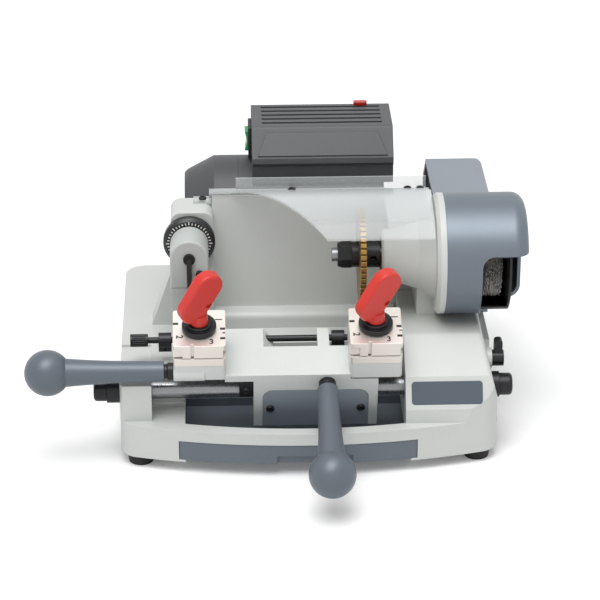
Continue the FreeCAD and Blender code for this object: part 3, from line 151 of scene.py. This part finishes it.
# The paper glows a little where the camera sees it, so that it stays white under the machine.
floor_paper, paper_tree, paper = start_material("studio_paper", FLOOR_GREY, FLOOR_ROUGH)
looked_at = add(paper_tree, "ShaderNodeLightPath")
glow = add(paper_tree, "ShaderNodeMath", {"operation": "MULTIPLY"}, {1: FLOOR_GLOW}, {
    0: looked_at.outputs["Is Camera Ray"]})
paper.inputs["Emission Color"].default_value = WHITE
paper_tree.links.new(glow.outputs[0], paper.inputs["Emission Strength"])
corners = np.array([(-1, -1, 0), (1, -1, 0), (1, 1, 0), (-1, 1, 0)]) * FLOOR_HALF
new_piece("floor", corners, [(0, 1, 2, 3)], floor_paper)

# Base: a hollow aluminium casting with a skirt, a deck, a pillar and a hump, open over the chip tray.
# It is filled and powder coated in a light grey. Powder coat gives a satin skin
# with an orange peel of about a millimetre, and every cast edge gets a painted highlight.
MM = 0.001
EDGE_MM = 0.7
EDGE_RAYS = 6
EDGE_TURN = 0.8
CLOUD_MM = 60.0
NOISE_LOW = 0.3
NOISE_HIGH = 0.7
GLOSS_SWING = 0.06


def coated(name, code, roughness, grain_mm, bump_mm,
           spread=0.08, metallic=0.0, edge=0.0, stretch=(1, 1, 1)):
    """A finish with a grain of a real size: it shifts the colour, the gloss and the height a little.

    The colour is the code times one plus or minus up to spread, half from the grain and half
    from a wide cloud. Edges are rounded by EDGE_MM in the light, and edge lifts the colour there
    as a painted highlight on every edge.
    A grain finer than about half a millimetre would not show, so it is drawn that coarse.
    """
    made, tree, shader = start_material(name, code, roughness, metallic)
    noise_range = {"From Min": NOISE_LOW, "From Max": NOISE_HIGH}
    place = add(tree, "ShaderNodeTexCoord")
    laid = add(tree, "ShaderNodeMapping", values={"Scale": stretch}, links={
        "Vector": place.outputs["Object"]})
    grain = add(tree, "ShaderNodeTexNoise", values={"Scale": 1 / (grain_mm * MM), "Detail": 3.0}, links={
        "Vector": laid.outputs[0]})
    cloud = add(tree, "ShaderNodeTexNoise", values={"Scale": 1 / (CLOUD_MM * MM), "Detail": 2.0}, links={
        "Vector": place.outputs["Object"]})
    both = add(tree, "ShaderNodeMix", values={"Factor": 0.5}, links={
        "A": grain.outputs["Fac"], "B": cloud.outputs["Fac"]})
    tone = add(tree, "ShaderNodeMapRange", values={
        **noise_range, "To Min": 1 - spread, "To Max": 1 + spread}, links={"Value": both.outputs[0]})
    round_edge = add(tree, "ShaderNodeBevel", {"samples": EDGE_RAYS}, {"Radius": EDGE_MM * MM})
    flat = add(tree, "ShaderNodeNewGeometry")
    turn = add(tree, "ShaderNodeVectorMath", {"operation": "DOT_PRODUCT"}, links={
        0: round_edge.outputs[0], 1: flat.outputs["Normal"]})
    # Painted highlight: the colour rises by up to edge where the rounded normal turns away from the flat
    # one.
    painted_edge_highlight = add(tree, "ShaderNodeMapRange", values={
        "From Min": 1.0, "From Max": EDGE_TURN, "To Min": 0.0, "To Max": edge}, links={
        "Value": turn.outputs["Value"]})
    lift = add(tree, "ShaderNodeMath", {"operation": "ADD"}, links={0: tone.outputs[0], 1: painted_edge_highlight.outputs[0]})
    shade = add(tree, "ShaderNodeVectorMath", {"operation": "SCALE"}, {0: linear(code)[:3]}, {
        "Scale": lift.outputs[0]})
    gloss = add(tree, "ShaderNodeMapRange", values={
        **noise_range, "To Min": roughness - GLOSS_SWING, "To Max": roughness + GLOSS_SWING}, links={
        "Value": grain.outputs["Fac"]})
    height = add(tree, "ShaderNodeBump", values={"Strength": 1.0, "Distance": bump_mm * MM}, links={
        "Height": grain.outputs["Fac"], "Normal": round_edge.outputs[0]})
    tree.links.new(shade.outputs[0], shader.inputs["Base Color"])
    tree.links.new(gloss.outputs[0], shader.inputs["Roughness"])
    tree.links.new(height.outputs[0], shader.inputs["Normal"])
    return made


def dress(material, *nodes):
    """Gives CAD nodes a finish."""
    for name in nodes:
        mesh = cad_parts[name].data
        mesh.materials.clear()
        mesh.materials.append(material)


powder_coat = coated(
    "powder_coated_casting", "#c9ccc9", roughness=0.42, grain_mm=1.4, bump_mm=0.05,
    spread=0.03, edge=0.10)
dress(powder_coat, "base_casting")

# Feet: four tapered blocks of black rubber under the corners, each with a hole for a bench bolt.
# Moulded rubber is dull and slightly dusty.
rubber = coated(
    "moulded_rubber", "#1d1b1c", roughness=0.75, grain_mm=0.8, bump_mm=0.05,
    spread=0.12)
dress(rubber, "rubber_feet")

# Name plate: a thin plastic plate with rounded corners, let into the slanted front of the base's hump.
# Its dark slate paint is smooth and satin.
name_plate_paint = coated(
    "name_plate_paint", "#4d5761", roughness=0.42, grain_mm=0.6, bump_mm=0.02,
    spread=0.04, edge=0.10)
dress(name_plate_paint, "name_plate")

# Chip tray: a moulded drawer with thin walls and a thick bowed front, which slides out to the operator.
# Its slate paint has a fine leather-like grain and little shine.
tray_paint = coated(
    "tray_paint", "#626a73", roughness=0.5, grain_mm=0.9, bump_mm=0.05,
    spread=0.05, edge=0.10)
dress(tray_paint, "chip_tray")

# Carriage shaft: a ground steel bar in two blackened bushes in the base, with rounded caps on its ends.
# Grinding leaves fine lines round the bar, and blackening leaves a dark sheen; its edges carry a painted
# highlight.
ground_steel = coated(
    "ground_steel", "#8e9092", roughness=0.30, grain_mm=0.5, bump_mm=0.004,
    spread=0.05, metallic=1.0, stretch=(1, 0.05, 0.05))
black_steel = coated(
    "blackened_steel", "#29292b", roughness=0.34, grain_mm=0.5, bump_mm=0.01,
    spread=0.12, metallic=0.6, edge=0.5)
dress(ground_steel, "carriage_shaft")
dress(black_steel, "shaft_bushes", "shaft_end_caps")

# Carriage: a smaller casting in a paler satin coat, which slides along the shaft and tilts with it.
# A moulded cover plate in smooth blue-grey paint is let into its apron and held by two button screws.
# Its blue-grey is drawn far lighter than the name plate's, as a painted reflection that lifts it out of the
# apron's shade.
# A small blackened stop bracket is screwed to the apron's left side.
pale_coat = coated(
    "pale_powder_coat", "#d2d5d3", roughness=0.42, grain_mm=1.4, bump_mm=0.05,
    spread=0.03, edge=0.08)
# Painted reflection: the cover's blue-grey is lifted well above the name plate's to stand for the light it
# catches.
cover_paint_and_reflection = coated(
    "cover_paint_and_reflection", "#8b949d", roughness=0.40, grain_mm=0.6, bump_mm=0.02,
    spread=0.04, edge=0.10)
dress(pale_coat, "carriage_casting")
dress(cover_paint_and_reflection, "carriage_cover_plate")
dress(black_steel, "cover_plate_screws", "stop_bracket")

# Handles: two moulded grips that swell into a ball, on short turned ferrules of blackened steel.
# The slate plastic has a soft sheen and a fine grain.
grip_plastic = coated(
    "grip_plastic", "#5f6871", roughness=0.38, grain_mm=0.7, bump_mm=0.04,
    spread=0.05, metallic=0.2)
for place in ("front", "side"):
    dress(grip_plastic, f"{place}_handle_grip")
    dress(black_steel, f"{place}_handle_ferrule")

# Clamps: square steel jaws over a spring, drawn together on a stud by a knob and a stepped washer.
# Satin nickel gives the jaws a warm, soft shine.
# The knobs have a flat paddle, moulded in red nylon with a low gloss.
nickel = coated(
    "satin_nickel", "#e4ddd6", roughness=0.42, grain_mm=0.4, bump_mm=0.008,
    spread=0.05, metallic=0.75, edge=0.12)
red_nylon = coated(
    "red_nylon", "#cf3026", roughness=0.38, grain_mm=1.0, bump_mm=0.04,
    spread=0.05, edge=0.12)
for side in ("left", "right"):
    dress(nickel, f"{side}_clamp_lower_jaw", f"{side}_clamp_upper_jaw")
    dress(black_steel, f"{side}_clamp_washer", f"{side}_clamp_spring")
    dress(ground_steel, f"{side}_clamp_stud")
    dress(red_nylon, f"{side}_clamp_knob")

# Clamp marks: short dashes at two edges of each upper jaw and the numbers 1 to 4, in plain black paint.
# They tell the operator which of the jaw's four faces is in use, and rise and fall with the jaw.
# Sizes are in millimetres. A dash has an edge of the jaw and a place along it from the stud.
LEAN = np.radians(18.0)
SHAFT_Y = -98.0
SHAFT_Z = 60.0
JAW_X = {"left": -92.0, "right": 55.5}
JAW_Y = 7.0
JAW_TOP = 64.0
JAW_HALF = 22.0
MARK_ROUGH = 0.5
MARK_PROUD = 0.05
MARK_DEPTH = 0.4
DASH_L = 4.6
DASH_W = 2.6
DASH_INSET = 0.3
DASH_PLACES = [("right", -1.0), ("right", -12.5), ("left", 5.75)]
NUMBER_H = 8.0
NUMBER_BOLD = 0.2
NUMBER_SMOOTH = 4
NUMBER_PLACE = (10.2, -16.6)
NUMBER_ORDER = "3142"
BOX_CORNERS = np.array([(x, y, z) for z in (0, 1) for y in (0, 1) for x in (0, 1)])
BOX_FACES = np.array([
    (0, 2, 3, 1), (4, 5, 7, 6), (0, 1, 5, 4), (2, 6, 7, 3), (0, 4, 6, 2), (1, 3, 7, 5)])


def slabs(lows, highs):
    """Boxes between pairs of corners: each corner is low plus its 0 or 1 share of high less low."""
    lows = np.asarray(lows, float)[:, None, :]
    highs = np.asarray(highs, float)[:, None, :]
    points = lows + BOX_CORNERS[None] * (highs - lows)
    faces = BOX_FACES[None] + len(BOX_CORNERS) * np.arange(len(points))[:, None, None]
    return points.reshape(-1, 3), faces.reshape(-1, 4)


def leaned(points):
    """Points of the upright carriage, turned by its lean about the shaft's axis, in metres.

    Across is y cos(lean) less z sin(lean), and up is y sin(lean) plus z cos(lean), from the shaft.
    """
    x, y, z = np.asarray(points).T
    across = SHAFT_Y + y * np.cos(LEAN) - z * np.sin(LEAN)
    up = SHAFT_Z + y * np.sin(LEAN) + z * np.cos(LEAN)
    return np.stack([x, across, up], 1) * MM


def drawn_number(number):
    """The flat outline of a number, filled, as points across its page and the corners of each face."""
    words = bpy.data.curves.new("number", "FONT")
    words.body = number
    words.size = NUMBER_H
    words.offset = NUMBER_BOLD
    words.align_x = "CENTER"
    words.align_y = "CENTER"
    words.resolution_u = NUMBER_SMOOTH
    page = bpy.data.objects.new("number", words)
    shape = page.to_mesh()
    points = np.empty(len(shape.vertices) * 3)
    shape.vertices.foreach_get("co", points)
    faces = [list(face.vertices) for face in shape.polygons]
    page.to_mesh_clear()
    bpy.data.objects.remove(page)
    bpy.data.curves.remove(words)
    return points.reshape(-1, 3)[:, :2], faces


mark_paint, _, _ = start_material("black_mark_paint", "#1b1a1a", MARK_ROUGH)
for side, middle in JAW_X.items():
    lows = []
    highs = []
    for edge, along in DASH_PLACES:
        start = middle + JAW_HALF - DASH_L if edge == "right" else middle - JAW_HALF + DASH_INSET
        lows.append((start, JAW_Y + along - DASH_W / 2, JAW_TOP - MARK_DEPTH))
        highs.append((start + DASH_L - DASH_INSET, JAW_Y + along + DASH_W / 2, JAW_TOP + MARK_PROUD))
    points, faces = slabs(lows, highs)
    dashes = new_piece(f"{side}_jaw_dashes", leaned(points), faces, mark_paint)
    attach(dashes, f"{side}_jaw")
    for quarter, number in enumerate(NUMBER_ORDER):
        flat, faces = drawn_number(number)
        flat = flat + NUMBER_PLACE
        turn = quarter * np.pi / 2
        x = middle + flat[:, 0] * np.cos(turn) - flat[:, 1] * np.sin(turn)
        y = JAW_Y + flat[:, 0] * np.sin(turn) + flat[:, 1] * np.cos(turn)
        z = np.full(len(flat), JAW_TOP + MARK_PROUD)
        points = leaned(np.stack([x, y, z], 1))
        stamped = new_piece(f"{side}_jaw_number_{number}", points, faces, mark_paint)
        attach(stamped, f"{side}_jaw")

# Key gauge: a thin blackened rod in two lugs of the carriage, with two fingered hubs fixed on it.
# A knurled knob on its left end swings both fingers up to the keys.
dress(black_steel, "gauge_rod", "gauge_hubs", "gauge_knob")

# Lock knob: a wing knob of blackened steel that locks the carriage.
# Its stem goes into a round boss on the right side of the base's hump.
dress(black_steel, "lock_knob")

# Head: a second casting in the coat of the base, which stands on the deck.
# Its back wall carries the tower of the tracer on the left and the barrel of the spindle on the right.
dress(powder_coat, "head_casting")

# Tracer: a quill in the head's tower, in a darker satin coat, with a blackened point pinched by a screw.
# A turned ring nut on the quill's stem moves it. Black anodising is deep and satin, with a painted
# highlight on its edges.
quill_grey = coated(
    "quill_coat", "#b9bdbb", roughness=0.40, grain_mm=1.2, bump_mm=0.04,
    spread=0.03, edge=0.10)
dial_black = coated(
    "black_anodised", "#17181a", roughness=0.38, grain_mm=0.6, bump_mm=0.01,
    spread=0.10, edge=0.3)
dress(quill_grey, "tracer_quill")
dress(black_steel, "tracer_point", "tracer_clamp_screw")
dress(dial_black, "tracer_dial")

# Dial marks: 40 lines cut into the ring's face and filled with white paint, every fifth one longer.
# They show how far the quill has moved, and turn with the ring. Sizes are in millimetres.
DIAL_AT = (-100.0, -9.3, 155.5)
DIAL_MARKS = 40
LONG_EVERY = 5
MARK_IN = 17.15
MARK_OUT = 19.0
MARK_OUT_LONG = 20.0
MARK_HALF = 0.45
MARK_FILL = 0.28
white_paint, _, _ = start_material("white_mark_paint", "#eceae4", MARK_ROUGH)
order = np.arange(DIAL_MARKS)
outer = np.where(order % LONG_EVERY == 0, MARK_OUT_LONG, MARK_OUT)
ones = np.ones(DIAL_MARKS)
points, faces = slabs(
    np.stack([-MARK_HALF * ones, -MARK_PROUD * ones, MARK_IN * ones], 1),
    np.stack([MARK_HALF * ones, MARK_FILL * ones, outer], 1))
# Each upright line is turned about the ring's axis: x cos + z sin across, and z cos - x sin up.
turn = np.repeat(order * 2 * np.pi / DIAL_MARKS, len(BOX_CORNERS))
points = np.stack([
    points[:, 0] * np.cos(turn) + points[:, 2] * np.sin(turn),
    points[:, 1],
    points[:, 2] * np.cos(turn) - points[:, 0] * np.sin(turn),
], 1) + DIAL_AT
dial_marks = new_piece("dial_marks", points * MM, faces, white_paint)
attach(dial_marks, "dial")

# Spindle: a ground shaft in two bearings, driven by a flat rubber belt over turned aluminium pulleys.
# Its left end holds a toothed cutter between blackened collars, under a hexagon nut.
# A nitride coat gives the cutter a dull gold, and the bare aluminium is pale and bright.
gold_coat = coated(
    "gold_nitride_coat", "#9c7f48", roughness=0.38, grain_mm=0.5, bump_mm=0.01,
    spread=0.10, metallic=1.0, edge=0.2)
turned_aluminium = coated(
    "turned_aluminium", "#b9babc", roughness=0.35, grain_mm=0.5, bump_mm=0.01,
    spread=0.08, metallic=1.0)
dress(ground_steel, "spindle_shaft", "spindle_bearings")
dress(gold_coat, "cutter")
dress(black_steel, "cutter_nut", "cutter_collars")
dress(turned_aluminium, "spindle_pulley", "motor_pulley")
dress(rubber, "drive_belt")

# Wire brush: rows of crimped steel wires held in a pressed steel hub on the spindle's right end.
# The wires wave a little, and their uneven tips give the rim a rough edge. They and the hub are drawn pale
# and dull,
# far lighter than bare steel: painted light that lifts them out of the hood's shade.
# They are fewer and thicker than real ones, so that they show. Sizes are in millimetres.
BRUSH_START = 150.0
BRUSH_END = 166.0
BRUSH_AXIS_Y = -35.0
BRUSH_AXIS_Z = 154.6
BRUSH_R = 38.0
BRUSH_ROWS = 7
BRUSH_ROW_WIRES = 110
BRUSH_SIDE = 1.4
HUB_R = 21.0
HUB_BORE_R = 8.0
HUB_BEVEL = 1.0
HUB_SIDES = 64
WIRE_R = 0.34
WIRE_SIDES = 3
WIRE_STEPS = 9
WIRE_ROOT = 2.0
WIRE_WAVE = 1.0
WIRE_WAVE_TURN = 9.0
WIRE_WAVE_ALONG = 0.6
WIRE_UNEVEN = 2.5
WIRE_SHIFT = 0.04
BRUSH_SEED = 7


def about_spindle(x, r, angle):
    """Points at a distance r from the spindle's axis: y is r cos(angle) and z is r sin(angle) from it."""
    y = BRUSH_AXIS_Y + r * np.cos(angle)
    z = BRUSH_AXIS_Z + r * np.sin(angle)
    return np.stack(np.broadcast_arrays(x, y, z), -1) * MM


# Painted light: the wires are far paler than bare steel so that they read as lit inside the hood.
wire_steel_painted_light = coated(
    "brush_wire_steel_painted_light", "#d9d5cf", roughness=0.45, grain_mm=0.4, bump_mm=0.0,
    spread=0.20, metallic=0.2)
draw = np.random.default_rng(BRUSH_SEED)
wires = BRUSH_ROWS * BRUSH_ROW_WIRES
row = np.repeat(np.linspace(BRUSH_START + BRUSH_SIDE, BRUSH_END - BRUSH_SIDE, BRUSH_ROWS), BRUSH_ROW_WIRES)
spoke = np.tile(np.arange(BRUSH_ROW_WIRES) * 2 * np.pi / BRUSH_ROW_WIRES, BRUSH_ROWS)
spoke = spoke + draw.uniform(0, WIRE_SHIFT, wires)
tip = BRUSH_R - draw.uniform(0, WIRE_UNEVEN, wires)
phase = draw.uniform(0, 2 * np.pi, wires)
# A wire runs from its root to its tip, swings by a sine of its length, and carries a small ring.
step = np.linspace(0, 1, WIRE_STEPS)[None, :, None]
round_wire = (np.arange(WIRE_SIDES) * 2 * np.pi / WIRE_SIDES)[None, None, :]
reach = (HUB_R - WIRE_ROOT) + (tip[:, None, None] - HUB_R + WIRE_ROOT) * step
wave = WIRE_WAVE * np.sin(phase[:, None, None] + WIRE_WAVE_TURN * step)
around = spoke[:, None, None] + (wave + WIRE_R * np.cos(round_wire)) / reach
along = row[:, None, None] + wave * WIRE_WAVE_ALONG + WIRE_R * np.sin(round_wire)
points = about_spindle(along, reach, around).reshape(-1, 3)
ring = np.arange(WIRE_SIDES)
beside = (ring + 1) % WIRE_SIDES
steps = np.arange(WIRE_STEPS - 1)[None, :, None]
first = (np.arange(wires)[:, None, None] * WIRE_STEPS + steps) * WIRE_SIDES
above = first + WIRE_SIDES
sides = np.stack(np.broadcast_arrays(first + ring, first + beside, above + beside, above + ring), -1)
foot = (np.arange(wires) * WIRE_STEPS * WIRE_SIDES)[:, None]
ends = np.concatenate([foot + ring[::-1], foot + (WIRE_STEPS - 1) * WIRE_SIDES + ring])
faces = sides.reshape(-1, 4).tolist() + ends.tolist()
bristles = new_piece("brush_wires", points, faces, wire_steel_painted_light, smooth=True)
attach(bristles, "spindle")
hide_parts("wire_brush")

# The hub is its bevelled profile carried round the spindle's axis.
profile = np.array([
    (BRUSH_START, HUB_BORE_R), (BRUSH_START, HUB_R - HUB_BEVEL), (BRUSH_START + HUB_BEVEL, HUB_R),
    (BRUSH_END - HUB_BEVEL, HUB_R), (BRUSH_END, HUB_R - HUB_BEVEL), (BRUSH_END, HUB_BORE_R)])
turn = (np.arange(HUB_SIDES) * 2 * np.pi / HUB_SIDES)[:, None]
points = about_spindle(profile[None, :, 0], profile[None, :, 1], turn).reshape(-1, 3)
this = (np.arange(HUB_SIDES) * len(profile))[:, None] + np.arange(len(profile))[None]
after = np.roll(this, -1, 0)
faces = np.stack([this, after, np.roll(after, -1, 1), np.roll(this, -1, 1)], -1).reshape(-1, 4)
hub = new_piece("brush_hub", points, faces, wire_steel_painted_light)
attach(hub, "spindle")

# Brush hood: a moulded cover over the pulley and the brush, fixed to the barrel's rim and open in front.
# Its slate paint has a metallic sheen. The housing round the brush is moulded in matt black ABS.
slate_paint = coated(
    "slate_paint", "#6f7881", roughness=0.40, grain_mm=0.9, bump_mm=0.05,
    spread=0.05, metallic=0.45, edge=0.12)
black_abs = coated(
    "black_abs", "#141416", roughness=0.45, grain_mm=0.7, bump_mm=0.03,
    spread=0.12)
dress(slate_paint, "brush_hood")
dress(black_abs, "brush_housing")

# Belt cover: a moulded box over the belt, behind the hood, which stands on the base's deck.
# Its paint is paler than the hood's and less metallic.
belt_cover_paint = coated(
    "belt_cover_paint", "#8a929a", roughness=0.42, grain_mm=0.9, bump_mm=0.05,
    spread=0.05, metallic=0.3, edge=0.12)
dress(belt_cover_paint, "belt_cover")

# Motor: a barrel whose foot bolts to the deck behind the wall, and a fan cap with a ring of air slots.
# Both have a dull charcoal paint with a painted highlight along the edges. The rotor inside is ground
# steel.
motor_paint = coated(
    "motor_paint", "#434447", roughness=0.48, grain_mm=0.8, bump_mm=0.05,
    spread=0.06, edge=0.20)
dress(motor_paint, "motor_housing", "motor_end_cap")
dress(ground_steel, "motor_rotor")

# Electrical box: moulded in dull charcoal ABS, on a saddle on the motor, with a smooth film on its front.
# The switch is in its left wall, the lamp on its top and the inlet on its rear wall.
# The lamp and the rocker are coloured plastic with a wet shine.
charcoal = coated(
    "charcoal_abs", "#4c4d50", roughness=0.50, grain_mm=0.8, bump_mm=0.05,
    spread=0.06, edge=0.20)
panel_film = coated(
    "panel_film", "#3a3b3e", roughness=0.32, grain_mm=0.6, bump_mm=0.01,
    spread=0.05)
lamp_red = coated(
    "lamp_red", "#b3241c", roughness=0.20, grain_mm=2.0, bump_mm=0.0,
    spread=0.05)
rocker_green = coated(
    "rocker_green", "#1f9a5a", roughness=0.25, grain_mm=2.0, bump_mm=0.0,
    spread=0.05)
dress(charcoal, "electrical_box")
dress(panel_film, "box_panel")
dress(black_abs, "switch_bezel", "power_inlet")
dress(lamp_red, "pilot_lamp")
dress(rocker_green, "switch_rocker")

# Shield: a guard of clear acrylic, bent from one sheet and held to the wall's top by button screws.
# The sheet is drawn partly opaque in near white, partly a faint haze in the acrylic and partly a painted
# reflection, and both thicken where the sheet is seen along its surface.
ACRYLIC_IOR = 1.49
ACRYLIC_ROUGH = 0.06
HAZE_AND_REFLECTION_FACE = 0.24
HAZE_AND_REFLECTION_EDGE = 0.60
HAZE_BLEND = 0.35
acrylic, acrylic_tree, sheet = start_material("clear_acrylic", "#e2e6e7", ACRYLIC_ROUGH)
sheet.inputs["IOR"].default_value = ACRYLIC_IOR
# The alpha is partly haze and partly a painted reflection, and it rises where the sheet is seen edge on.
slant = add(acrylic_tree, "ShaderNodeLayerWeight", values={"Blend": HAZE_BLEND})
haze_and_reflection = add(acrylic_tree, "ShaderNodeMapRange", values={"To Min": HAZE_AND_REFLECTION_FACE, "To Max": HAZE_AND_REFLECTION_EDGE}, links={
    "Value": slant.outputs["Facing"]})
acrylic_tree.links.new(haze_and_reflection.outputs[0], sheet.inputs["Alpha"])
dress(acrylic, "clear_shield")
dress(black_steel, "shield_screws")
